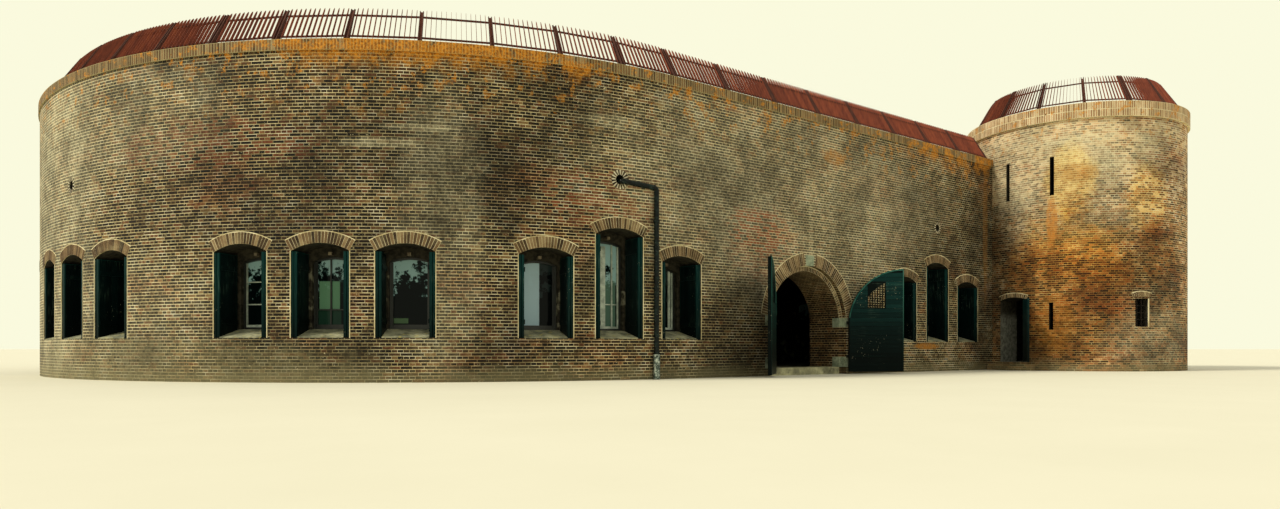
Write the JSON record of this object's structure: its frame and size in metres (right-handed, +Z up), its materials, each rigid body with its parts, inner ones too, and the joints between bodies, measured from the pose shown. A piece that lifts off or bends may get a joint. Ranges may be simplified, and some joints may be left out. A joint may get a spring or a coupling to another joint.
{
  "type": "coastal brick fort with two round towers",
  "caption": "Low brick fort on a horseshoe plan with round corner towers, an arched gate, shuttered windows and a leaning steel fence on its wall tops.",
  "frame": {"origin": "on the ground, under the middle of the bounding box", "axes": "+X from the round end to the end wall with the towers, -Y is the gate side, +Z up"},
  "size_m": [29.6498, 29.9998, 8.65],
  "materials": {
    "brick": "weathered brown brick in lime mortar",
    "coping_brick": "brick on edge with lichen",
    "stone": "dressed pale stone",
    "concrete": "trowelled concrete",
    "weathered_steel": "rusted steel plate",
    "frame_paint": "black paint",
    "window_glass": "clear",
    "render": "cement render with lichen",
    "green_paint": "dark green paint on boards",
    "iron": "painted forged iron",
    "pipe_paint": "black pipe paint, worn"
  },
  "bodies": {
    "root": {"left_bay_wall": "brick", "front_bay_wall": "brick", "middle_bay_wall": "brick", "right_bay_wall": "brick", "rear_left_bay_wall": "brick", "rear_front_bay_wall": "brick", "rear_middle_bay_wall": "brick", "rear_right_bay_wall": "brick", "rear_gate_side_wall": "brick", "end_wall_front": "brick", "end_wall_rear": "brick", "gate_left_pier": "brick", "gate_right_pier": "brick", "gate_head_wall": "brick", "tower_wall_inner": "brick", "tower_wall_front": "brick", "tower_wall_outer": "brick", "tower_wall_back": "brick", "tower_door_head": "brick", "rear_tower_wall_inner": "brick", "rear_tower_wall_front": "brick", "rear_tower_wall_outer": "brick", "rear_tower_wall_back": "brick", "tower_door_step": "brick", "round_coping": "coping_brick", "flank_copings": "coping_brick", "end_coping": "coping_brick", "tower_copings": "coping_brick", "gate_stones": "stone", "gate_threshold": "stone", "main_floor": "concrete", "main_roof_deck": "concrete", "tower_floors": "concrete", "round_fence": "weathered_steel", "flank_fences": "weathered_steel", "end_fence": "weathered_steel", "tower_fences": "weathered_steel", "window_frames_front": "frame_paint", "window_frames_rear": "frame_paint", "window_glass_front": "window_glass", "window_glass_rear": "window_glass", "window_sills_front": "render", "window_sills_rear": "render", "window_shutters_front": "green_paint", "window_shutters_rear": "green_paint", "hinge_pintles": "iron", "rain_pipe": "pipe_paint", "pipe_fittings": "pipe_paint"},
    "gate_leaf_left": {"gate_leaf_left": "green_paint", "gate_straps_left": "iron"},
    "gate_leaf_right": {"gate_leaf_right": "green_paint", "gate_straps_right": "iron"},
    "tower_door": {"tower_door_leaf": "green_paint", "tower_door_straps": "iron"}
  },
  "joints": [
    {"name": "gate_leaf_left_hinge", "type": "hinge", "parent": "root", "child": "gate_leaf_left", "pos_m": [-1.26, -10.7314, 0.46], "axis": [0, 0, -1], "range_deg": [-142, 25]},
    {"name": "gate_leaf_right_hinge", "type": "hinge", "parent": "root", "child": "gate_leaf_right", "pos_m": [1.59, -10.7314, 0.46], "axis": [0, 0, 1], "range_deg": [-142, 25]},
    {"name": "tower_door_hinge", "type": "hinge", "parent": "root", "child": "tower_door", "pos_m": [8.52447, -11.88892, 0.63], "axis": [0, 0, 1], "range_deg": [-133, 20]}
  ]
}
